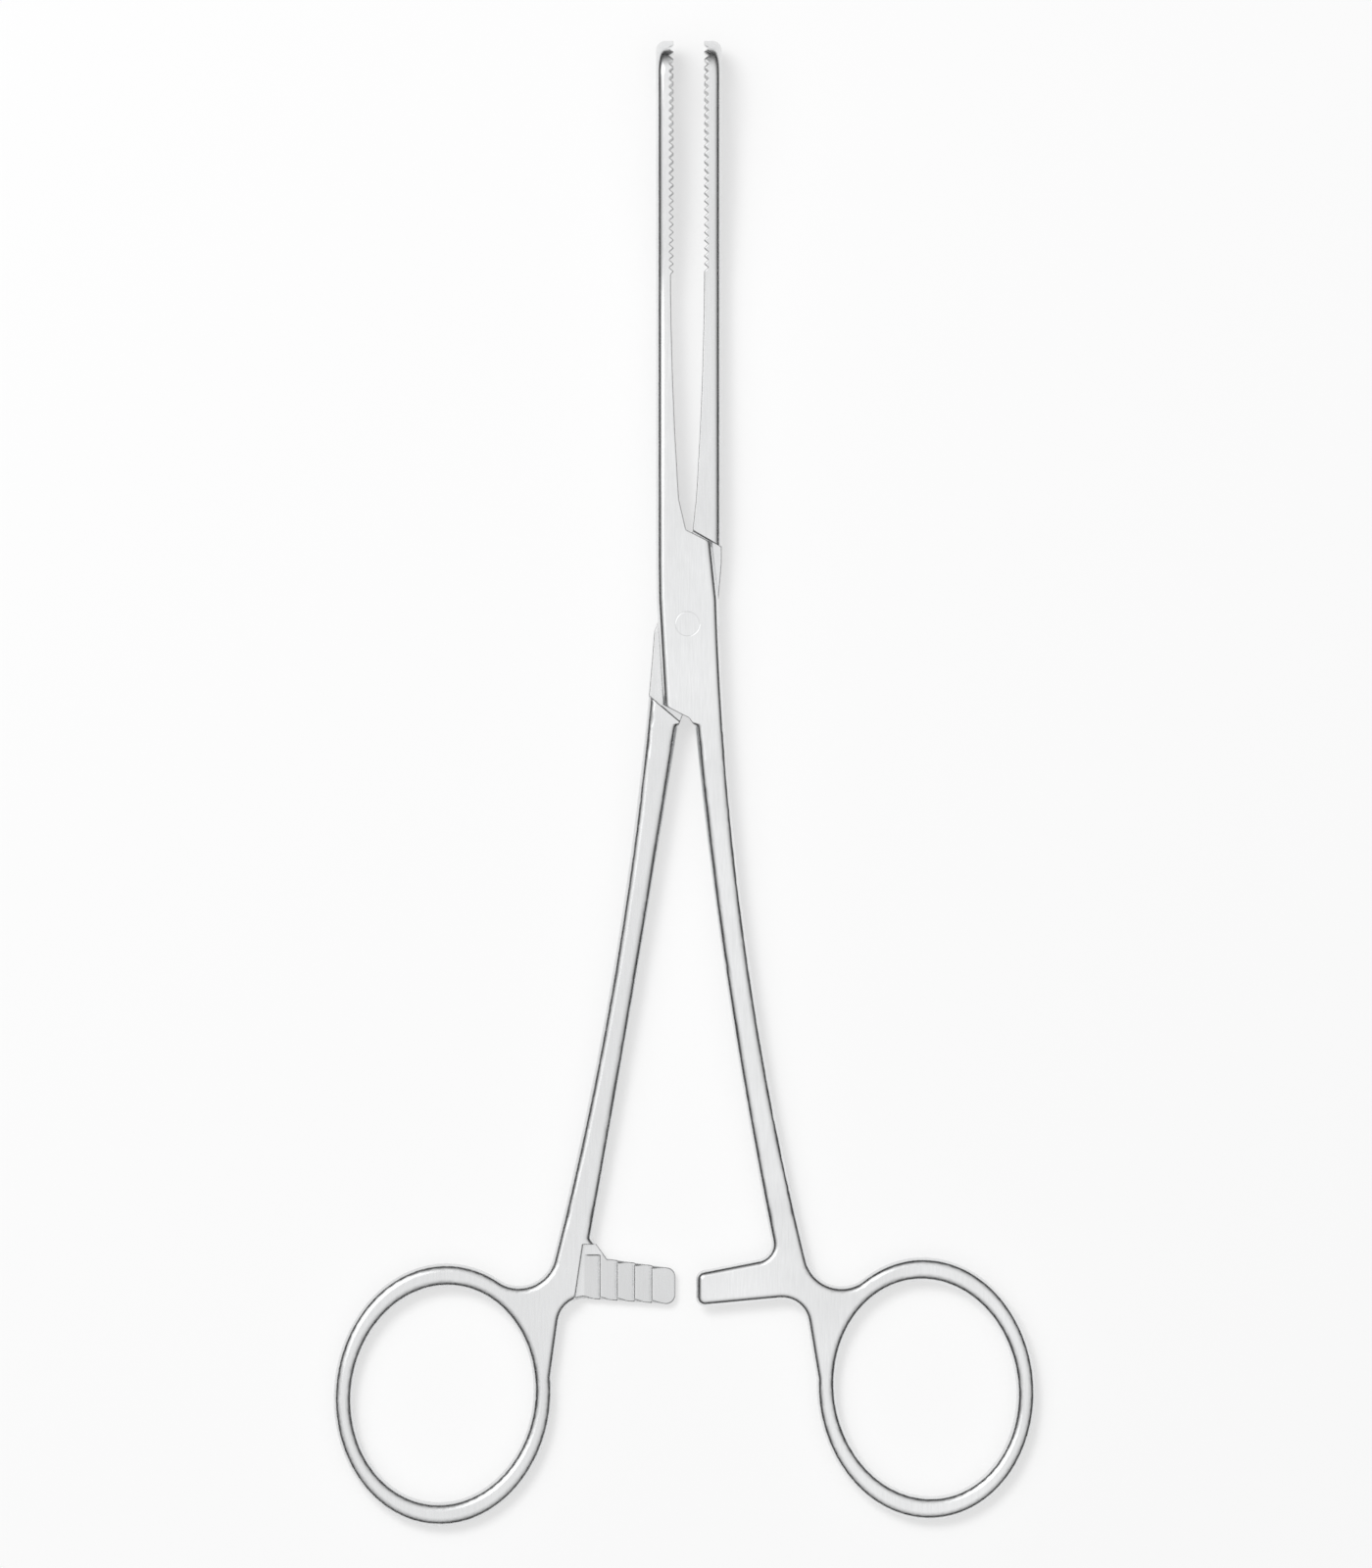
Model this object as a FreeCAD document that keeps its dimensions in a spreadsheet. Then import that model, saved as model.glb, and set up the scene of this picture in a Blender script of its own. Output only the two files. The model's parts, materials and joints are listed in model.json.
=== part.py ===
import FreeCAD, Part
import os
import Sketcher

# Sponge holding forceps with a box lock, lying on its side as it comes to rest.
# Each half is drawn in the instrument's own flat frame: the pivot at the origin, +Y towards the jaws,
# +X to the right, +Z up along the pin. It is then tilted a little, so that both jaws and both rings
# lie on the ground, with the origin on the ground at the middle of the instrument's length.
# All lengths are in millimetres and all angles in degrees.

SIZES = {
    # jaws, whose blades are parallel in the pose that is drawn
    "jaw_reach": 96.1,
    "jaw_blade": 2.88,
    "female_jaw_face": 2.3,
    "male_jaw_face": 2.75,
    "jaw_half_width": 5.72,
    "jaw_bend_radius": 40,
    "jaw_outer_round": 1.5,
    "neck_reach": 54.9,
    "neck_half_width": 1.72,
    "neck_bend_radius": 150,
    "neck_head_side": 2.75,
    "neck_head_drop": 0.5,
    "neck_root_reach": 20.5,
    "neck_root_side": 1.4,
    "neck_bow": 586,
    # window through each jaw
    "window_rim": 3.2,
    "window_length": 23,
    "window_top_radius": 3.15,
    "window_low_radius": 1.6,
    # serrations across the gripping faces
    "serration_count": 29,
    "serration_pitch": 1.29,
    "serration_depth": 0.7,
    "serration_land": 0.1,
    "serration_start": 1.3,
    # box lock
    "lock_thickness": 6,
    "lock_reach": 17,
    "lock_side": 5.1,
    "lock_side_reach": 4,
    "jaw_root_reach": 10,
    "plate_reach": 15.5,
    "plate_corner_reach": 13.3,
    "plate_corner_side": 4.1,
    "plate_crotch_side": 0.24,
    "waist_half_width": 4.65,
    "waist_lean": 21,
    "waist_thickness": 2.6,
    "waist_clearance": 0.05,
    "flank_clearance": 0.1,
    "shoulder_gap": 0.1,
    "heel_shoulder_lean": 10.4,
    "pin_radius": 2,
    "pin_clearance": 0.05,
    # travel of the male half about the pin, from the pose that is drawn
    "close_travel": 2.85,
    "open_travel": 35,
    "stop_margin": 0.6,
    # shanks
    "shank_half_thickness": 1.95,
    "shank_taper_end": 100,
    "shank_bend_radius": 400,
    "foot_rise": 6,
    "handle_round": 1.35,
    "female_foot_side": 15.6,
    "female_shank_inner": 14.4,
    "female_outer_bow": 520,
    "female_inner_bow": 800,
    "male_foot_side": 13.8,
    "male_shank_inner": 16.4,
    "male_outer_bow": 616,
    "male_inner_bow": 3000,
    "female_crotch_side": 1.3,
    "male_crotch_side": 1.6,
    # finger rings
    "female_ring_side": 39.4,
    "female_ring_low": 126.3,
    "male_ring_side": 40.35,
    "male_ring_low": 127.3,
    "ring_hole_half_width": 14.9,
    "ring_hole_half_length": 17.9,
    "ring_hole_lean": 7.8,
    "ring_band_side": 3.15,
    "ring_band_end": 3.8,
    "ring_rim_lean": 4.6,
    "ring_valley_radius": 5.8,
    "female_web_width": 5.4,
    "male_web_width": 4.9,
    "web_foot_inset": 1.6,
    "web_drop": 8,
    # ratchet arms
    "arm_root_low": 107.8,
    "arm_root_width": 6.8,
    "female_arm_tip_low": 109.9,
    "male_arm_tip_low": 109.5,
    "arm_tip_width": 5.9,
    "female_arm_tip": 1.4,
    "male_arm_tip": 1.95,
    "female_arm_shoulder": 2.6,
    "male_arm_shoulder": 3.1,
    "arm_foot_radius": 4.2,
    "arm_tip_radius": 1.5,
    "arm_gap": 0.1,
    "step_inset": 0.9,
    "step_run": 1.8,
    "ratchet_pitch": 2.85,
    "ratchet_depth": 0.7,
    "ratchet_land": 0.2,
    "ratchet_count": 4,
    "ratchet_lead": 3.95,
    "ratchet_bevel": 0.5,
    # stock left around the blank before it is cut to its profile
    "stock": 1,
}

doc = FreeCAD.newDocument("sponge_holding_forceps")
sheet = doc.addObject("Spreadsheet::Sheet", "Size")
for row, (alias, number) in enumerate(SIZES.items(), start=1):
    sheet.set(f"A{row}", alias)
    sheet.set(f"B{row}", str(number))
    sheet.setAlias(f"B{row}", alias)
doc.recompute()


def value(expression):
    """The number that an expression on the sheet gives."""
    result = sheet.evalExpression(str(expression))
    return float(getattr(result, "Value", result))


def origin_item(body, role):
    return next(item for item in body.Origin.OriginFeatures if item.Role == role)


def sketch_on(body, name, role, height=None):
    """A sketch on one of the body's own origin planes, or parallel to it at a height."""
    sketch = body.newObject("Sketcher::SketchObject", name)
    sketch.AttachmentSupport = [(origin_item(body, role), "")]
    sketch.MapMode = "FlatFace"
    if height is not None:
        sketch.setExpression("AttachmentOffset.Base.z", height)
    return sketch


def bind(sketch, kind, places, expression):
    """One dimension of a sketch, tied to the sheet."""
    index = sketch.addConstraint(Sketcher.Constraint(kind, *places, value(expression)))
    sketch.setExpression(f"Constraints[{index}]", expression)


def pin_down(sketch, geometry, end, point):
    """Ties one end of a piece of geometry to a point given as two expressions."""
    bind(sketch, "DistanceX", (-1, 1, geometry, end), point[0])
    bind(sketch, "DistanceY", (-1, 1, geometry, end), point[1])


def run_between(start, finish, bow):
    """A straight run, or an arc whose radius is bow, bulging to the right of its direction of travel
    where bow is above zero and to the left where it is below."""
    if bow is None:
        return Part.LineSegment(start, finish), 1, 2
    radius = abs(value(bow))
    side = 1 if value(bow) > 0 else -1
    chord = finish - start
    across = FreeCAD.Vector(-chord.y, chord.x, 0).normalize() * side
    centre = (start + finish) / 2 + across * max(radius ** 2 - (chord.Length / 2) ** 2, 0) ** 0.5
    arc = Part.Arc(start, centre - across * radius, finish)
    return (arc, 1, 2) if side > 0 else (arc, 2, 1)


def outline(sketch, corners):
    """A closed outline through corners, each an (x, y, bow) of expressions, where bow belongs to the
    run that leaves the corner and None makes it straight."""
    points = [FreeCAD.Vector(value(x), value(y), 0) for x, y, bow in corners]
    runs = []
    for number, (x, y, bow) in enumerate(corners):
        finish = points[(number + 1) % len(points)]
        geometry, first, last = run_between(points[number], finish, bow)
        runs.append((sketch.addGeometry(geometry, False), first, last))
    for number, (x, y, bow) in enumerate(corners):
        geometry, first, last = runs[number]
        before, before_first, before_last = runs[number - 1]
        sketch.addConstraint(Sketcher.Constraint("Coincident", before, before_last, geometry, first))
        pin_down(sketch, geometry, first, (x, y))
        if bow is not None:
            bind(sketch, "Radius", (geometry,), f"abs({bow})")


def oval(sketch, centre, half_width, half_length, lean):
    """An ellipse whose long axis leans from +Y towards +X by an angle in degrees."""
    middle = FreeCAD.Vector(value(centre[0]), value(centre[1]), 0)
    turn = FreeCAD.Rotation(FreeCAD.Vector(0, 0, 1), -value(lean))
    long_end = middle + turn.multVec(FreeCAD.Vector(0, value(half_length), 0))
    short_end = middle + turn.multVec(FreeCAD.Vector(-value(half_width), 0, 0))
    ring = sketch.addGeometry(Part.Ellipse(long_end, short_end, middle), False)
    sketch.exposeInternalGeometry(ring)
    long_axis = ring + 1
    short_axis = ring + 2
    pin_down(sketch, ring, 3, centre)
    bind(sketch, "Distance", (long_axis,), f"2 * ({half_length})")
    bind(sketch, "Distance", (short_axis,), f"2 * ({half_width})")
    line = sketch.Geometry[long_axis]
    upward = 1 if line.EndPoint.y > line.StartPoint.y else -1
    bind(sketch, "Angle", (long_axis,), f"{upward * 90}deg - ({lean}) * 1deg")


def disc(sketch, radius):
    """A circle round the pivot."""
    circle = Part.Circle(FreeCAD.Vector(), FreeCAD.Vector(0, 0, 1), value(radius))
    geometry = sketch.addGeometry(circle, False)
    sketch.addConstraint(Sketcher.Constraint("Coincident", geometry, 3, -1, 1))
    bind(sketch, "Radius", (geometry,), radius)


def pad(body, sketch, name, length):
    """A pad that grows equally to both sides of its sketch."""
    feature = body.newObject("PartDesign::Pad", name)
    feature.Profile = sketch
    feature.SideType = "Symmetric"
    feature.setExpression("Length", length)
    doc.recompute()


def cut(body, sketch, name, length=None, ways="Symmetric", backwards=False):
    """A pocket, through everything unless a length is given. It stops the script if it cuts nothing."""
    before = body.Shape.Volume
    feature = body.newObject("PartDesign::Pocket", name)
    feature.Profile = sketch
    feature.SideType = ways
    feature.Reversed = backwards
    feature.Type = "ThroughAll" if length is None else "Length"
    if length is not None:
        feature.setExpression("Length", length)
    doc.recompute()
    if not body.Shape.Volume < before:
        raise ValueError(f"{body.Label}: {name} cuts nothing")
    return feature


def mirrored(body, feature, name):
    """The same cut again on the other side of the mid plane."""
    twin = body.newObject("PartDesign::Mirrored", name)
    twin.Originals = [feature]
    twin.MirrorPlane = (origin_item(body, "XY_Plane"), [""])
    body.Tip = twin
    doc.recompute()


def row_of(body, feature, name, axis, backwards, count, pitch):
    """A straight row of one cut along one of the body's own axes."""
    row = body.newObject("PartDesign::LinearPattern", name)
    row.Originals = [feature]
    row.Direction = (origin_item(body, axis), [""])
    row.Reversed = backwards
    row.Mode = "Spacing"
    row.setExpression("Occurrences", count)
    row.setExpression("Offset", pitch)
    body.Tip = row
    doc.recompute()


def upright_edges(shape, places):
    """Names of the upright edges that stand nearest to the given places."""
    upright = {}
    for number, edge in enumerate(shape.Edges, start=1):
        if abs(edge.tangentAt(edge.FirstParameter).z) > 0.999:
            upright[f"Edge{number}"] = edge.CenterOfMass
    targets = [FreeCAD.Vector(value(x), value(y), 0) for x, y in places]
    return [min(upright, key=lambda name: (upright[name] - target).Length) for target in targets]


def nearest_edge(shape, place):
    """Name of the edge whose middle is nearest to a place, as the only entry of a list."""
    target = FreeCAD.Vector(*[value(expression) for expression in place])
    distances = [(edge.CenterOfMass - target).Length for edge in shape.Edges]
    return [f"Edge{distances.index(min(distances)) + 1}"]


def rim_edges(shape, wanted):
    """Names of the edges between an upright wall and a broad face whose middles are wanted."""
    names = []
    for number, edge in enumerate(shape.Edges, start=1):
        middle = edge.valueAt((edge.FirstParameter + edge.LastParameter) / 2)
        slopes = []
        for face in shape.ancestorsOfType(edge, Part.Face):
            u, v = face.Surface.parameter(middle)
            slopes.append(abs(face.normalAt(u, v).z))
        if len(slopes) == 2 and min(slopes) < 0.01 and max(slopes) > 0.1 and wanted(middle):
            names.append(f"Edge{number}")
    return names


def dress_up(body, kind, name, edges, size_name, size):
    """A fillet or a chamfer on some edges of the body as it stands."""
    base = body.Tip
    feature = body.newObject(kind, name)
    feature.Base = (base, edges)
    feature.setExpression(size_name, size)
    doc.recompute()
    if "Invalid" in feature.State:
        raise ValueError(f"{name}: {feature.getStatusString()}")


def round_off(body, name, edges, radius):
    dress_up(body, "PartDesign::Fillet", name, edges, "Radius", radius)


def bevel(body, name, edges, size):
    dress_up(body, "PartDesign::Chamfer", name, edges, "Size", size)


def eased(start, finish, radius):
    """Corners of a smooth step between two runs along -Y: an arc, a straight run and an equal arc."""
    run = f"({start[0]} - {finish[0]})"
    step = f"abs({start[1]} - {finish[1]})"
    span = f"(2 * {radius} - {step})"
    turn = f"(atan({run} / {span}) - acos(2 * {radius} / hypot({run}; {span})))"
    falls = value(f"{start[1]} - {finish[1]}") > 0
    off, on = ("-", "+") if falls else ("+", "-")
    leave = (f"{start[0]} - {radius} * sin{turn}", f"{start[1]} {off} {radius} * (1 - cos{turn})", None)
    join = (
        f"{finish[0]} + {radius} * sin{turn}",
        f"{finish[1]} {on} {radius} * (1 - cos{turn})",
        f"-{radius}" if falls else radius,
    )
    return [(start[0], start[1], radius if falls else f"-{radius}"), leave, join]


# Expressions for places that several cuts share. Where a place belongs to either half, side is 1 for
# the female half, whose handle lies at +X, and -1 for the male half.

OUTER_HALF_WIDTH = "(Size.ring_hole_half_width + Size.ring_band_side)"
OUTER_HALF_LENGTH = "(Size.ring_hole_half_length + Size.ring_band_end)"
SERRATED_LENGTH = "(Size.serration_start + (Size.serration_count - 0.5) * Size.serration_pitch)"
ARM_ROOT_TOP = "(Size.arm_root_low - Size.arm_root_width / 2)"
ARM_ROOT_FOOT = "(Size.arm_root_low + Size.arm_root_width / 2)"
PLATE_LEAN = ("atan((Size.plate_reach - Size.plate_corner_reach)"
              " / (Size.plate_corner_side + Size.plate_crotch_side))")


def flank_side(reach):
    """How far to the right the waist's upper left flank is at a height above the pivot."""
    lean = "(Size.waist_lean * 1deg)"
    return f"(({reach} * sin{lean} - Size.waist_half_width) / cos{lean})"


def web_root(half):
    """How far to the side the web beside the ring starts, at the foot of the ratchet arm."""
    return f"(Size.{half}_ring_side - Size.ring_hole_half_width - Size.{half}_web_width)"


def arm_tip(half, way):
    """How low the tip of the ratchet arm reaches, at its upper edge or its foot."""
    return f"(Size.{half}_arm_tip_low {way} Size.arm_tip_width / 2)"


def handle_corners(half, side):
    """From the end of the shank's outer edge, inside the ring's band, round the web and the arm."""
    ring_side = f"Size.{half}_ring_side"
    ring_low = f"Size.{half}_ring_low"
    web_foot = f"({ring_side} - {OUTER_HALF_WIDTH} + Size.web_foot_inset)"
    return [
        (f"{side} * ({ring_side} - Size.{half}_foot_side)", f"-({ring_low} - Size.foot_rise)", None),
        (f"{side} * {web_foot}", f"-({ring_low} + Size.web_drop)", None),
        (f"{side} * {web_root(half)}", f"-{ARM_ROOT_FOOT}", None),
        (f"{side} * Size.{half}_arm_tip", f"-{arm_tip(half, '+')}", None),
        (f"{side} * Size.{half}_arm_tip", f"-{arm_tip(half, '-')}", None),
    ]


def blank(body, half, side, corners):
    """The forging in plan, thicker than the jaw is wide, with its finger ring and its corners eased."""
    thick = "2 * (Size.jaw_half_width + Size.stock)"
    centre = (f"{side} * Size.{half}_ring_side", f"-Size.{half}_ring_low")
    plan = sketch_on(body, f"{half}_plan", "XY_Plane")
    outline(plan, corners)
    pad(body, plan, f"{half}_plan_pad", thick)
    rim = sketch_on(body, f"{half}_ring_rim", "XY_Plane")
    oval(rim, centre, OUTER_HALF_WIDTH, OUTER_HALF_LENGTH, f"-({side}) * Size.ring_rim_lean")
    pad(body, rim, f"{half}_ring_pad", thick)
    hole = sketch_on(body, f"{half}_finger_hole", "XY_Plane")
    oval(hole, centre, "Size.ring_hole_half_width", "Size.ring_hole_half_length",
         f"-({side}) * Size.ring_hole_lean")
    cut(body, hole, f"{half}_finger_hole_cut")
    tip_places = [(f"{side} * Size.{half}_arm_tip", f"-{arm_tip(half, way)}") for way in "-+"]
    round_off(body, f"{half}_arm_tip_round", upright_edges(body.Shape, tip_places), "Size.arm_tip_radius")
    foot_place = (f"{side} * {web_root(half)}", f"-{ARM_ROOT_FOOT}")
    round_off(body, f"{half}_arm_foot_round", upright_edges(body.Shape, [foot_place]), "Size.arm_foot_radius")
    shoulder_place = (f"{side} * Size.{half}_shank_inner", f"-{ARM_ROOT_TOP}")
    shoulder = upright_edges(body.Shape, [shoulder_place])
    if half == "female":
        round_off(body, "female_arm_shoulder", shoulder, "Size.female_arm_shoulder")
    else:
        bevel(body, "male_arm_shoulder", shoulder, "Size.male_arm_shoulder")
    valley = (f"{side} * (Size.{half}_ring_side - Size.{half}_foot_side - Size.stock)",
              f"-(Size.{half}_ring_low - Size.foot_rise - Size.stock)")
    round_off(body, f"{half}_valley_round", upright_edges(body.Shape, [valley]), "Size.ring_valley_radius")


def side_profile(body, half):
    """Cuts the blank to its thickness: round jaw, slim neck, thick lock, tapered shank and flat ring."""
    sketch = sketch_on(body, f"{half}_side_profile", "YZ_Plane")
    widest = ("(Size.jaw_reach - Size.jaw_half_width)", "Size.jaw_half_width")
    neck = ("Size.neck_reach", "Size.neck_half_width")
    lock_top = ("Size.lock_reach", "(Size.lock_thickness / 2)")
    lock_low = ("(0 - Size.lock_reach)", "(Size.lock_thickness / 2)")
    shank = ("(0 - Size.shank_taper_end)", "Size.shank_half_thickness")
    above = "Size.jaw_half_width + 2 * Size.stock"
    ahead = "Size.jaw_reach + 2 * Size.stock"
    below = f"-(Size.{half}_ring_low + {OUTER_HALF_LENGTH} + 2 * Size.stock)"
    corners = [("Size.jaw_reach", "0", "Size.jaw_half_width")]
    corners += eased(widest, neck, "Size.jaw_bend_radius")
    corners += eased(neck, lock_top, "Size.neck_bend_radius")
    corners += [(*lock_top, None)]
    corners += eased(lock_low, shank, "Size.shank_bend_radius")
    corners += [(*shank, None), (below, shank[1], None)]
    corners += [(below, above, None), (ahead, above, None), (ahead, "0", None)]
    outline(sketch, corners)
    upper = cut(body, sketch, f"{half}_profile_upper")
    mirrored(body, upper, f"{half}_profile_lower")


def forged_edges(body, half):
    """Rounds the handle all along, and the outside of the jaw. The gripping side stays crisp."""
    middle = value(f"Size.{half}_jaw_face + Size.jaw_blade / 2")
    lock = value("Size.lock_reach")
    handle = rim_edges(body.Shape, lambda place: place.y < -lock)
    round_off(body, f"{half}_handle_round", handle, "Size.handle_round")
    outside = rim_edges(body.Shape, lambda place: place.y > lock and abs(place.x) > middle)
    round_off(body, f"{half}_jaw_outer_round", outside, "Size.jaw_outer_round")


def window(body, half):
    """The tapered window through the jaw."""
    sketch = sketch_on(body, f"{half}_window", "YZ_Plane")
    big = "Size.window_top_radius"
    small = "Size.window_low_radius"
    top = "(Size.jaw_reach - Size.window_rim)"
    big_centre = f"({top} - {big})"
    small_centre = f"({top} - Size.window_length + {small})"
    lean = f"asin(({big} - {small}) / ({big_centre} - {small_centre}))"
    shoulder = (f"{big_centre} - {big} * sin({lean})", f"{big} * cos({lean})")
    hip = (f"{small_centre} - {small} * sin({lean})", f"{small} * cos({lean})")
    outline(sketch, [
        (top, "0", big),
        (*shoulder, None),
        (*hip, small),
        (f"{small_centre} - {small}", "0", small),
        (hip[0], f"-{hip[1]}", None),
        (shoulder[0], f"-{shoulder[1]}", big),
    ])
    cut(body, sketch, f"{half}_window_cut")


def serrations(body, half, side):
    """The row of notches across the gripping face, from the tip towards the neck."""
    sketch = sketch_on(body, f"{half}_notch", "XY_Plane")
    face = f"-({side}) * Size.{half}_jaw_face"
    first = "Size.jaw_reach - Size.serration_start"
    half_width = "(Size.serration_pitch - Size.serration_land) / 2"
    proud = f"{face} + {side} * Size.serration_depth"
    outline(sketch, [
        (f"{face} - {side} * Size.serration_depth", first, None),
        (proud, f"{first} + 2 * {half_width}", None),
        (proud, f"{first} - 2 * {half_width}", None),
    ])
    notch = cut(body, sketch, f"{half}_notch_cut")
    row_of(body, notch, f"{half}_serrations", "Y_Axis", True, "Size.serration_count", "Size.serration_pitch")


def half_arm(body, half, side):
    """Leaves the ratchet arm half as thick, the female one above and the male one below, and cuts the
    ratchet teeth into the face that meets the other arm."""
    face = f"{side} * Size.arm_gap / 2"
    clear_tip = f"{side} * (Size.{half}_arm_tip - 2 * Size.stock)"
    step = sketch_on(body, f"{half}_arm_step", "XY_Plane", face)
    high = f"-({ARM_ROOT_TOP} - 2 * Size.stock)"
    low = f"-({arm_tip(half, '+')} + 2 * Size.stock)"
    outline(step, [
        (f"{side} * (Size.{half}_shank_inner + Size.step_inset)", high, None),
        (f"{side} * (Size.{half}_shank_inner + Size.step_inset + Size.step_run)", low, None),
        (clear_tip, low, None),
        (clear_tip, high, None),
    ])
    cut(body, step, f"{half}_arm_step_cut", ways="One side", backwards=(side == "-1"))
    foot_middle = (f"{side} * ({web_root(half)} + Size.{half}_arm_tip) / 2",
                   f"-({ARM_ROOT_FOOT} + {arm_tip(half, '+')}) / 2", face)
    bevel(body, f"{half}_ratchet_bevel", nearest_edge(body.Shape, foot_middle), "Size.ratchet_bevel")
    across = "Size.arm_root_width + 2 * Size.stock"
    level = f"(Size.arm_root_low + Size.{half}_arm_tip_low) / 2"
    open_side = f"{face} - {side} * Size.stock"
    bottom = f"{face} + {side} * Size.ratchet_depth"
    steep = f"(Size.{half}_arm_tip + Size.ratchet_lead)"
    tooth = sketch_on(body, f"{half}_ratchet_notch", "XZ_Plane", level)
    outline(tooth, [
        (f"{side} * {steep}", open_side, None),
        (f"{side} * {steep}", bottom, None),
        (f"{side} * ({steep} + Size.ratchet_pitch - Size.ratchet_land)", face, None),
        (f"{side} * ({steep} + Size.ratchet_pitch - Size.ratchet_land)", open_side, None),
    ])
    notch = cut(body, tooth, f"{half}_ratchet_notch_cut", across)
    row_of(body, notch, f"{half}_ratchet", "X_Axis", side == "-1", "Size.ratchet_count", "Size.ratchet_pitch")
    lead = sketch_on(body, f"{half}_ratchet_lead", "XZ_Plane", level)
    outline(lead, [
        (f"{side} * ({steep} - Size.ratchet_land)", face, None),
        (clear_tip, f"{face} + {side} * 2 * Size.ratchet_depth", None),
        (clear_tip, open_side, None),
        (f"{side} * ({steep} - Size.ratchet_land)", open_side, None),
    ])
    cut(body, lead, f"{half}_ratchet_lead_cut", across)


def box_slot(body):
    """The slot through the female half in which the male waist swings. Its two walls at each end stop
    the waist just past the closed and the open pose."""
    shut = "(Size.waist_lean - Size.close_travel - Size.stop_margin)"
    open_ = "(Size.waist_lean + Size.open_travel + Size.stop_margin)"
    wall = "(Size.waist_half_width + Size.flank_clearance)"
    meet = f"({wall} / cos(({open_} - {shut}) / 2 * 1deg))"
    between = f"(({open_} + {shut}) / 2 * 1deg)"
    reach = "(Size.lock_reach + Size.stock)"
    side = "(Size.lock_side + 3 * Size.stock)"
    end = (f"(({reach} * sin({shut} * 1deg) - {wall}) / cos({shut} * 1deg))", reach)
    corner = (f"(0 - {meet} * cos{between})", f"({meet} * sin{between})")
    mouth = (f"(0 - {side})", f"(({wall} - {side} * cos({open_} * 1deg)) / sin({open_} * 1deg))")
    far = (f"(0 - {side})", f"(0 - {reach})")
    sketch = sketch_on(body, "box_slot", "XY_Plane")
    upper = [end, corner, mouth, far]
    outline(sketch, [(x, y, None) for x, y in upper] + [(f"0 - {x}", f"0 - {y}", None) for x, y in upper])
    cut(body, sketch, "box_slot_cut", "Size.waist_thickness + 2 * Size.waist_clearance")


def waist(body):
    """Thins the male half between its shoulders so that it passes through the slot."""
    corner_reach = "hypot(Size.plate_corner_side; Size.plate_corner_reach)"
    corner_lean = "atan(Size.plate_corner_side / Size.plate_corner_reach)"
    side = "(Size.lock_side + 3 * Size.stock)"
    corners = []
    for end, extra in ((1, "0"), (-1, "Size.heel_shoulder_lean")):
        lean = f"({PLATE_LEAN} + (Size.close_travel + {extra}) * 1deg)"
        reach = (f"({corner_reach} * cos({lean} - {corner_lean} - Size.close_travel * 1deg)"
                 " + Size.shoulder_gap)")
        for hand in (-1, 1):
            x = f"({hand * end} * {side})"
            corners.append((x, f"({end} * {reach} - {x} * sin{lean}) / cos{lean}", None))
    sketch = sketch_on(body, "waist", "XY_Plane", "Size.waist_thickness / 2")
    outline(sketch, corners)
    upper = cut(body, sketch, "waist_upper", ways="One side", backwards=True)
    mirrored(body, upper, "waist_lower")


def bore(body, name, radius):
    sketch = sketch_on(body, name, "XY_Plane")
    disc(sketch, radius)
    cut(body, sketch, f"{name}_cut")


def flanks(body):
    """Mills both flanks of the male waist to the width that the slot takes, the upper one from where
    the plates leave the neck free and the lower one from the crotch."""
    low = "(0 - 3 * Size.stock)"
    side = "(Size.lock_side + 3 * Size.stock)"
    tops = {"left_flank": ("1", "Size.plate_reach"), "right_flank": ("-1", "Size.lock_reach")}
    for name, (sign, high) in tops.items():
        corners = [
            (flank_side(high), high),
            (flank_side(low), low),
            (f"(0 - {side})", low),
            (f"(0 - {side})", f"({high} + Size.stock)"),
        ]
        sketch = sketch_on(body, name, "XY_Plane")
        outline(sketch, [(f"{sign} * {x}", f"{sign} * {y}", None) for x, y in corners])
        cut(body, sketch, f"{name}_cut")


def forging(half, side, turn):
    """One half before its lock is cut. The plan runs from the jaw tip down the gripping face, past the
    lock and down the shank's outer edge, round the ring's web and the arm, and back up the inner edge.
    turn is a minus sign for the male half, whose arcs bulge to the other side of the run."""
    body = doc.addObject("PartDesign::Body", f"{half}_half")
    face = f"-({side}) * Size.{half}_jaw_face"
    outside = f"-({side}) * (Size.{half}_jaw_face + Size.jaw_blade)"
    back = "" if turn else "-"
    neck_foot = "-Size.plate_crotch_side"
    if turn:
        neck_foot = f"({flank_side('Size.plate_reach')} - Size.flank_clearance)"
    corners = [
        (outside, "Size.jaw_reach", None),
        (face, "Size.jaw_reach", None),
        (face, f"Size.jaw_reach - {SERRATED_LENGTH}", None),
        (f"-({side}) * Size.neck_head_side", f"Size.jaw_reach - {SERRATED_LENGTH} - Size.neck_head_drop",
         f"{turn}Size.neck_bow"),
        (f"-({side}) * Size.neck_root_side", "Size.neck_root_reach", None),
        (neck_foot, "Size.plate_reach", None),
        (f"{side} * Size.plate_corner_side", "Size.plate_corner_reach", None),
        (f"{side} * Size.lock_side", "Size.lock_side_reach", f"{turn}Size.{half}_outer_bow"),
        *handle_corners(half, side),
        (f"{side} * Size.{half}_shank_inner", f"-{ARM_ROOT_TOP}", f"{back}Size.{half}_inner_bow"),
        (f"{side} * Size.{half}_crotch_side", "-Size.lock_reach", None),
        (f"{side} * Size.plate_crotch_side", "-Size.plate_reach", None),
        (f"-({side}) * Size.plate_corner_side", "-Size.plate_corner_reach", None),
        (f"-({side}) * Size.lock_side", "Size.lock_side_reach", None),
        (outside, "Size.jaw_root_reach", None),
    ]
    blank(body, half, side, corners)
    side_profile(body, half)
    forged_edges(body, half)
    window(body, half)
    serrations(body, half, side)
    half_arm(body, half, side)
    return body


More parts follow.
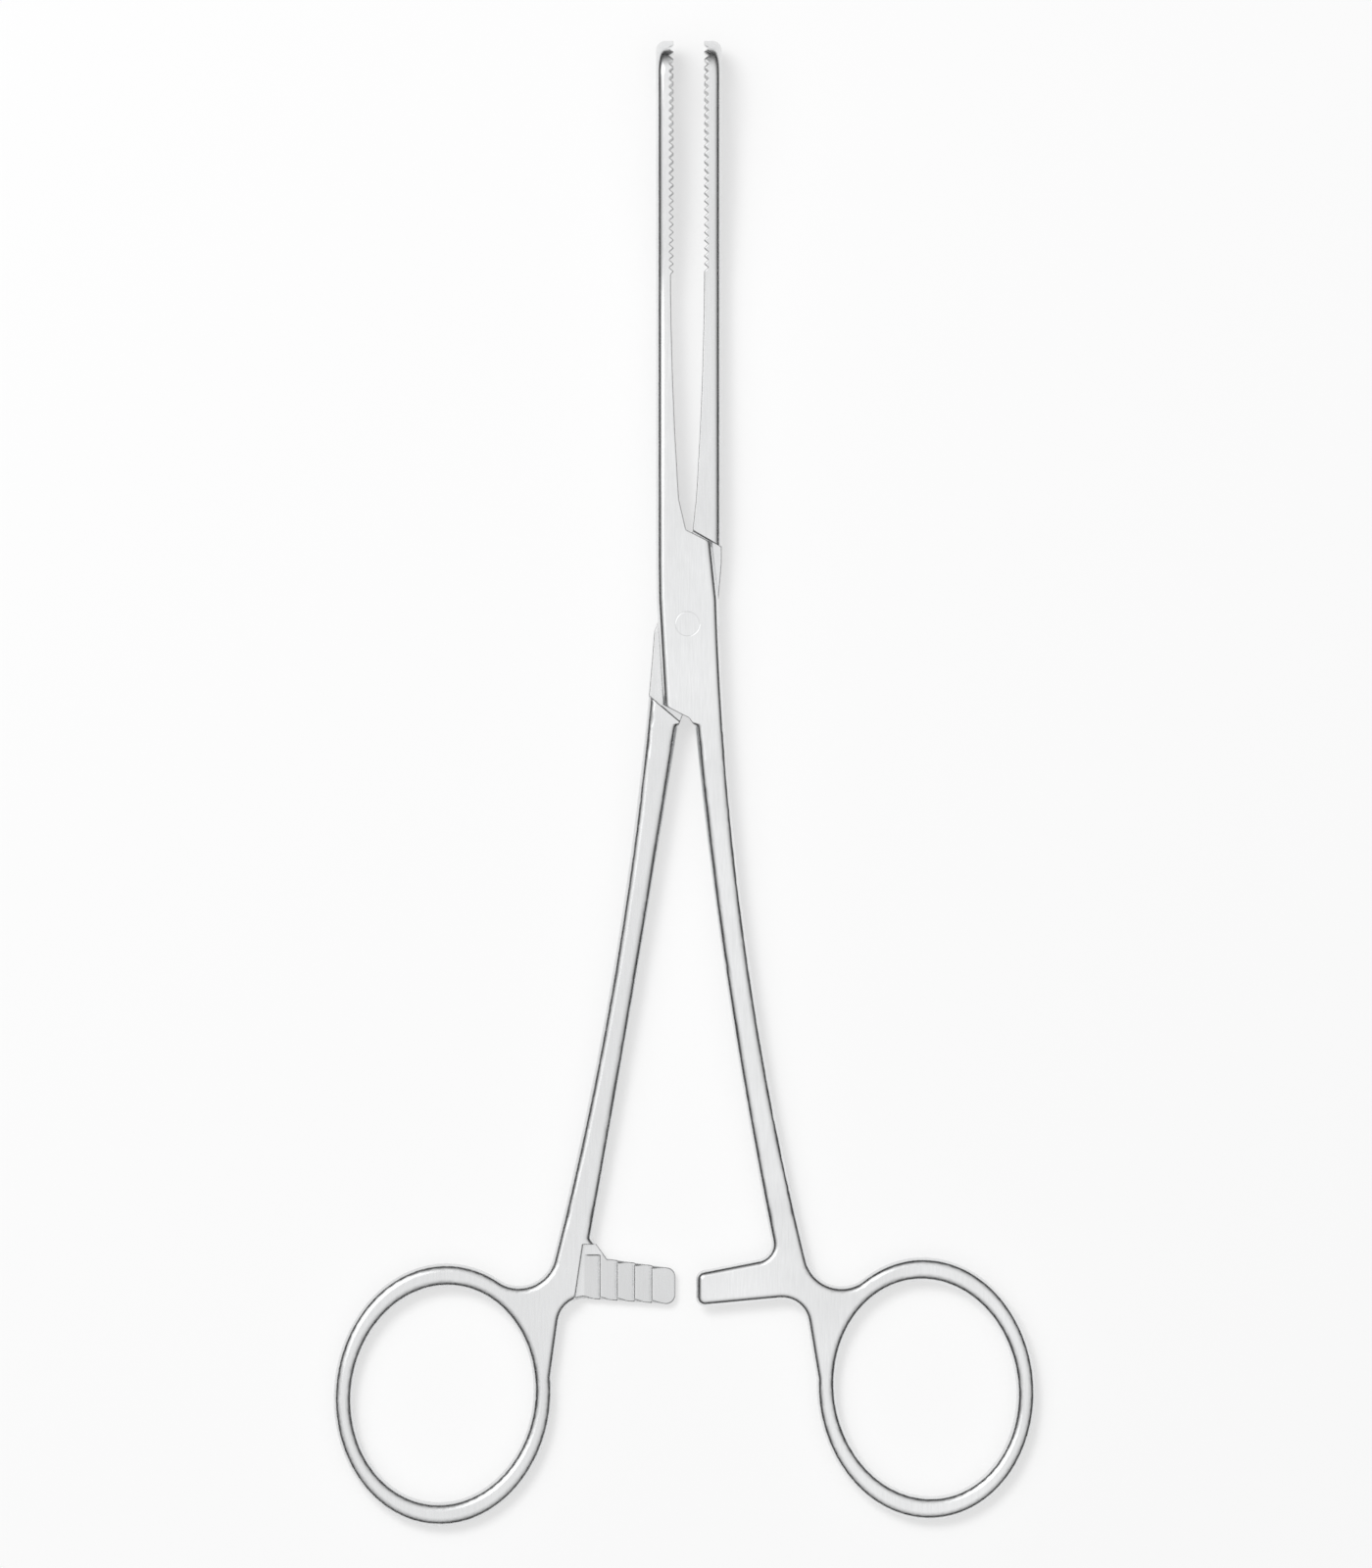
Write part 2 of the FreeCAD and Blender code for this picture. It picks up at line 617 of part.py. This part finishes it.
def female_half():
    """Left jaw, both plates of the box, right shank and right ring."""
    body = forging("female", "1", "")
    box_slot(body)
    bore(body, "pin_seat", "Size.pin_radius")
    return body


def male_half():
    """Right jaw, the waist that passes through the box, left shank and left ring."""
    body = forging("male", "-1", "-")
    flanks(body)
    waist(body)
    bore(body, "pin_bore", "Size.pin_radius + Size.pin_clearance")
    return body


def pivot_pin():
    """The rivet, ground flush with both plates."""
    body = doc.addObject("PartDesign::Body", "pivot_pin")
    sketch = sketch_on(body, "pin_section", "XY_Plane")
    disc(sketch, "Size.pin_radius")
    pad(body, sketch, "pin_shaft", "Size.lock_thickness")
    return body


def lay_down(body):
    """Tilts, lifts and shifts a piece: the jaws' edges and the rings' far ends touch the ground, with
    the origin midway between the jaws' tips and the lower ring's end."""
    handle_length = f"(Size.male_ring_low + {OUTER_HALF_LENGTH})"
    ring_end = f"({handle_length} - Size.handle_round)"
    jaw_end = "(Size.jaw_reach - Size.jaw_half_width)"
    tilt = f"atan((Size.jaw_half_width - Size.shank_half_thickness) / ({ring_end} + {jaw_end}))"
    body.Placement = FreeCAD.Placement(FreeCAD.Vector(), FreeCAD.Rotation(FreeCAD.Vector(1, 0, 0), 1))
    body.setExpression("Placement.Rotation.Angle", tilt)
    body.setExpression("Placement.Base.y", f"({handle_length} - Size.jaw_reach) / 2")
    lift = f"Size.shank_half_thickness * cos({tilt}) + {ring_end} * sin({tilt})"
    body.setExpression("Placement.Base.z", lift)


pieces = [female_half(), male_half(), pivot_pin()]
for piece in pieces:
    lay_down(piece)
doc.recompute()

for item in doc.Objects:
    if "Invalid" in item.State or "Error" in item.State:
        raise ValueError(f"{item.Name} failed: {item.getStatusString()}")
os.makedirs("parts", exist_ok=True)
for piece in pieces:
    if piece.Shape.isNull() or not piece.Shape.isValid() or len(piece.Shape.Solids) != 1:
        raise ValueError(f"{piece.Label} is not one sound solid")
for piece in pieces:
    piece.Shape.exportStep(f"parts/{piece.Label}.step")
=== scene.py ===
import bpy
import json
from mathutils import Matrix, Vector


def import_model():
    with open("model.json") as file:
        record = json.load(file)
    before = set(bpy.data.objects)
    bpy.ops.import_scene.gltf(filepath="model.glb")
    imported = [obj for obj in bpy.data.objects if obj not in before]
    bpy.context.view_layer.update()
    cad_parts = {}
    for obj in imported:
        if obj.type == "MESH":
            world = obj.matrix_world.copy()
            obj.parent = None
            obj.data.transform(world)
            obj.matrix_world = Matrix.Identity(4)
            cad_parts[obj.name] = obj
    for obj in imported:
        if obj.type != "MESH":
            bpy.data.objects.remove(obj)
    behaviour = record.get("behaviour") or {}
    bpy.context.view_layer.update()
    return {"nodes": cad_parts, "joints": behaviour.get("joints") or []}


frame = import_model()
scene = bpy.context.scene
pivot = Vector(frame["joints"][0]["pos_m"])

# Lengths are in metres unless a comment says otherwise.

# The drawing's framing: its size and the pivot's place in pixels, and how much one pixel shows.
FRAME_WIDTH, FRAME_HEIGHT = 1400, 1600
PIVOT_PIXEL = (701.5, 636.5)
METRES_PER_PIXEL = 0.0001617

# The lens and the sensor in millimetres, and how far the camera sees.
CAMERA_LENS = 300.0
SENSOR = 36.0
CAMERA_REACH = 50.0

# The surround's grey by height, from straight down to straight up. It is dark up to the horizon,
# so that the steel's rounded edges show as dark lines, and pale overhead.
SURROUND = [(0.0, 0.0), (0.35, 0.02), (0.55, 0.3), (0.75, 0.78), (0.92, 0.97), (1.0, 1.0)]
WORLD_STRENGTH = 1.0
WHITE = (1.0, 1.0, 1.0, 1.0)

# The floor lies just under the instrument. The camera and the steel see it part paper, lit by
# the lamps, and part plain white.
FLOOR_SIZE = 8.0
FLOOR_DROP = 0.0001
PAPER_COLOUR = (0.86, 0.86, 0.86, 1.0)
PAPER_WHITENESS = 0.55

# Each lamp's name, place, width, watts, and whether it shows in the steel. All point at the origin.
LAMPS = [
    ("key", (-0.7, 0.5, 1.1), 0.9, 2.2, True),
    ("floor_key", (-0.4, 0.5, 1.3), 0.5, 10.0, False),
]

# The steel's finish: brushed lines along the instrument and a fine blasted tooth, with faint clouds
# of painted reflection in its colour.
BRUSHED = {"scale": 4200.0, "detail": 3.0, "roughness": 0.6, "stretch": (1.0, 0.06, 1.0)}
PAINTED_REFLECTION_NOISE = {"scale": 45.0, "detail": 4.0, "roughness": 0.6}
BLASTED = {"scale": 7000.0, "detail": 2.0, "roughness": 0.5}
LINE_SHADE = 0.93
BUMP_STRENGTH = 0.05
BUMP_HEIGHT = 0.00001

# Each steel's tint, its range of roughness, and the range by which the painted reflection clouds
# scale its tint. Both are one steel: the first is painted lighter, with stronger painted
# reflections, and the second is darker and flatter.
LIGHTER_PAINTED_STEEL = ((0.86, 0.865, 0.87), (0.2, 0.28), (0.9, 1.04))
DARKER_PAINTED_STEEL = ((0.81, 0.815, 0.82), (0.22, 0.3), (0.96, 1.02))

# How far the finishing softens an edge that looks crisp, and how many samples find it.
EDGE_BREAK = 0.0004
EDGE_SAMPLES = 8

# The pin is ground flush with the upper plate, so no edge is softened within this reach of it.
PLATE_TOP = 0.0073
FLUSH_REACH = 0.0035
FLUSH_BLEND = 0.0005


def grey(level):
    return (level, level, level)


class Nodes:
    """A few shorthands for building one node tree, which starts empty."""

    def __init__(self, tree):
        self.tree = tree
        self.tree.nodes.clear()

    def add(self, kind, **settings):
        """Adds a node. Each setting is a property of it, or else the value of an input."""
        node = self.tree.nodes.new(kind)
        for name, setting in settings.items():
            if hasattr(node, name):
                setattr(node, name, setting)
            else:
                node.inputs[name].default_value = setting
        return node

    def link(self, source, target):
        self.tree.links.new(source, target)

    def ramp(self, fac, stops):
        """Turns a value into a colour, by stops of a place and a colour."""
        ramp = self.add("ShaderNodeValToRGB")
        self.link(fac, ramp.inputs["Fac"])
        elements = ramp.color_ramp.elements
        while len(elements) < len(stops):
            elements.new(0.5)
        for element, (place, colour) in zip(elements, stops):
            element.position = place
            element.color = (*colour, 1.0)
        return ramp.outputs["Color"]

    def noise(self, vector, scale, detail, roughness, stretch=(1.0, 1.0, 1.0)):
        """Noise over a place; a direction with a smaller stretch has longer marks."""
        mapping = self.add("ShaderNodeMapping", Scale=stretch)
        self.link(vector, mapping.inputs["Vector"])
        noise = self.add("ShaderNodeTexNoise", Scale=scale, Detail=detail, Roughness=roughness)
        self.link(mapping.outputs["Vector"], noise.inputs["Vector"])
        return noise.outputs["Fac"]

    def bump(self, height, normal):
        bump = self.add("ShaderNodeBump", Strength=BUMP_STRENGTH, Distance=BUMP_HEIGHT)
        self.link(height, bump.inputs["Height"])
        self.link(normal, bump.inputs["Normal"])
        return bump.outputs["Normal"]

    def mix_shaders(self, share, first, second):
        """The first shader, with this share of the second."""
        mix = self.add("ShaderNodeMixShader")
        self.link(share, mix.inputs["Fac"])
        self.link(first, mix.inputs[1])
        self.link(second, mix.inputs[2])
        return mix.outputs["Shader"]


def new_material(name):
    """A material, its nodes and its surface input."""
    material = bpy.data.materials.new(name)
    material.use_nodes = True
    nodes = Nodes(material.node_tree)
    return material, nodes, nodes.add("ShaderNodeOutputMaterial").inputs["Surface"]


def edge_normal(nodes, place):
    """The surface's normal, softened over the edges except round the pin."""
    softened = nodes.add("ShaderNodeBevel", samples=EDGE_SAMPLES, Radius=EDGE_BREAK)
    from_pin = nodes.add("ShaderNodeVectorMath", operation="DISTANCE")
    nodes.link(place, from_pin.inputs[0])
    from_pin.inputs[1].default_value = (pivot.x, pivot.y, PLATE_TOP)
    stops = [(FLUSH_REACH, grey(0.0)), (FLUSH_REACH + FLUSH_BLEND, grey(1.0))]
    mix = nodes.add("ShaderNodeMix", data_type="VECTOR")
    nodes.link(nodes.ramp(from_pin.outputs["Value"], stops), mix.inputs["Factor"])
    nodes.link(nodes.add("ShaderNodeNewGeometry").outputs["Normal"], mix.inputs["A"])
    nodes.link(softened.outputs["Normal"], mix.inputs["B"])
    return mix.outputs["Result"]


def steel(name, tint, rough, painted_reflection_range):
    """Satin surgical steel, brushed along the instrument and finely blasted, its colour faintly
    clouded with painted reflections.
    """
    material, nodes, surface = new_material(name)
    shader = nodes.add("ShaderNodeBsdfPrincipled", Metallic=1.0)
    nodes.link(shader.outputs["BSDF"], surface)
    place = nodes.add("ShaderNodeTexCoord").outputs["Object"]
    brushed = nodes.noise(place, **BRUSHED)
    painted_reflection = nodes.noise(place, **PAINTED_REFLECTION_NOISE)
    blasted = nodes.noise(place, **BLASTED)

    # The clouds scale the tint between a darker and a lighter copy. This is painted reflection, not
    # a mark of the steel.
    dark, light = (tuple(channel * share for channel in tint) for share in painted_reflection_range)
    lines = nodes.ramp(brushed, [(0.3, grey(LINE_SHADE)), (0.7, grey(1.0))])
    colour = nodes.add("ShaderNodeMix", data_type="RGBA", blend_type="MULTIPLY", Factor=1.0)
    nodes.link(nodes.ramp(painted_reflection, [(0.25, dark), (0.75, light)]), colour.inputs["A"])
    nodes.link(lines, colour.inputs["B"])
    nodes.link(colour.outputs["Result"], shader.inputs["Base Color"])

    low, high = rough
    roughness = nodes.ramp(brushed, [(0.2, grey(low)), (0.8, grey(high))])
    nodes.link(roughness, shader.inputs["Roughness"])

    tooth = nodes.bump(blasted, edge_normal(nodes, place))
    nodes.link(nodes.bump(brushed, tooth), shader.inputs["Normal"])
    return material


def dress(node, material):
    """Gives a CAD node its one material."""
    thing = frame["nodes"][node]
    thing.data.materials.clear()
    thing.data.materials.append(material)
    for polygon in thing.data.polygons:
        polygon.material_index = 0


def paper(name):
    """Plain pale paper, made whiter for the camera and for what the steel mirrors."""
    material, nodes, surface = new_material(name)
    lit = nodes.add("ShaderNodeBsdfDiffuse", Color=PAPER_COLOUR)
    white = nodes.add("ShaderNodeEmission", Color=WHITE)
    path = nodes.add("ShaderNodeLightPath")
    seen = nodes.add("ShaderNodeMath", operation="MAXIMUM")
    nodes.link(path.outputs["Is Camera Ray"], seen.inputs[0])
    nodes.link(path.outputs["Is Glossy Ray"], seen.inputs[1])
    share = nodes.add("ShaderNodeMath", operation="MULTIPLY")
    nodes.link(seen.outputs[0], share.inputs[0])
    share.inputs[1].default_value = PAPER_WHITENESS
    mixed = nodes.mix_shaders(share.outputs[0], lit.outputs["BSDF"], white.outputs["Emission"])
    nodes.link(mixed, surface)
    return material


def floor(material):
    half = FLOOR_SIZE / 2
    corners = [(-half, -half, 0), (half, -half, 0), (half, half, 0), (-half, half, 0)]
    mesh = bpy.data.meshes.new("floor")
    mesh.from_pydata(corners, [], [(0, 1, 2, 3)])
    mesh.materials.append(material)
    thing = bpy.data.objects.new("floor", mesh)
    scene.collection.objects.link(thing)
    thing.location.z = -FLOOR_DROP


def lamp(name, place, width, watts, mirrored):
    """A square lamp that points at the origin."""
    data = bpy.data.lights.new(name, "AREA")
    data.size = width
    data.energy = watts
    thing = bpy.data.objects.new(name, data)
    thing.location = place
    thing.rotation_mode = "QUATERNION"
    thing.rotation_quaternion = (-Vector(place)).to_track_quat("-Z", "Y")
    thing.visible_camera = False
    thing.visible_glossy = mirrored
    scene.collection.objects.link(thing)


def world():
    """Plain white to the camera, and the surround's greys to everything else."""
    surround = bpy.data.worlds.new("studio")
    scene.world = surround
    surround.use_nodes = True
    nodes = Nodes(surround.node_tree)
    out = nodes.add("ShaderNodeOutputWorld")
    split = nodes.add("ShaderNodeSeparateXYZ")
    nodes.link(nodes.add("ShaderNodeTexCoord").outputs["Generated"], split.inputs[0])
    stops = [(height, grey(level)) for height, level in SURROUND]
    greys = nodes.add("ShaderNodeBackground", Strength=WORLD_STRENGTH)
    nodes.link(nodes.ramp(split.outputs["Z"], stops), greys.inputs["Color"])
    plain = nodes.add("ShaderNodeBackground", Color=WHITE, Strength=WORLD_STRENGTH)
    seen = nodes.add("ShaderNodeLightPath").outputs["Is Camera Ray"]
    mixed = nodes.mix_shaders(seen, greys.outputs["Background"], plain.outputs["Background"])
    nodes.link(mixed, out.inputs["Surface"])


def camera():
    """Straight above the instrument, far off with a long lens, so that the view is nearly flat."""
    data = bpy.data.cameras.new("camera")
    data.sensor_width = SENSOR
    data.lens = CAMERA_LENS
    data.clip_end = CAMERA_REACH
    thing = bpy.data.objects.new("camera", data)
    across = (FRAME_WIDTH / 2 - PIVOT_PIXEL[0]) * METRES_PER_PIXEL
    up = (PIVOT_PIXEL[1] - FRAME_HEIGHT / 2) * METRES_PER_PIXEL
    height = FRAME_HEIGHT * METRES_PER_PIXEL * CAMERA_LENS / SENSOR
    thing.location = (pivot.x + across, pivot.y + up, pivot.z + height)
    scene.collection.objects.link(thing)
    scene.camera = thing


# The two halves are one steel. The female half and the pin are painted lighter as a painted
# highlight tone, and the male half darker.
lighter_painted_steel = steel("satin_steel_painted_lighter", *LIGHTER_PAINTED_STEEL)
plain = steel("satin_steel_painted_darker", *DARKER_PAINTED_STEEL)
dress("female_half", lighter_painted_steel)
dress("pivot_pin", lighter_painted_steel)
dress("male_half", plain)

floor(paper("paper"))
for settings in LAMPS:
    lamp(*settings)
world()
camera()
scene.view_settings.view_transform = "Standard"
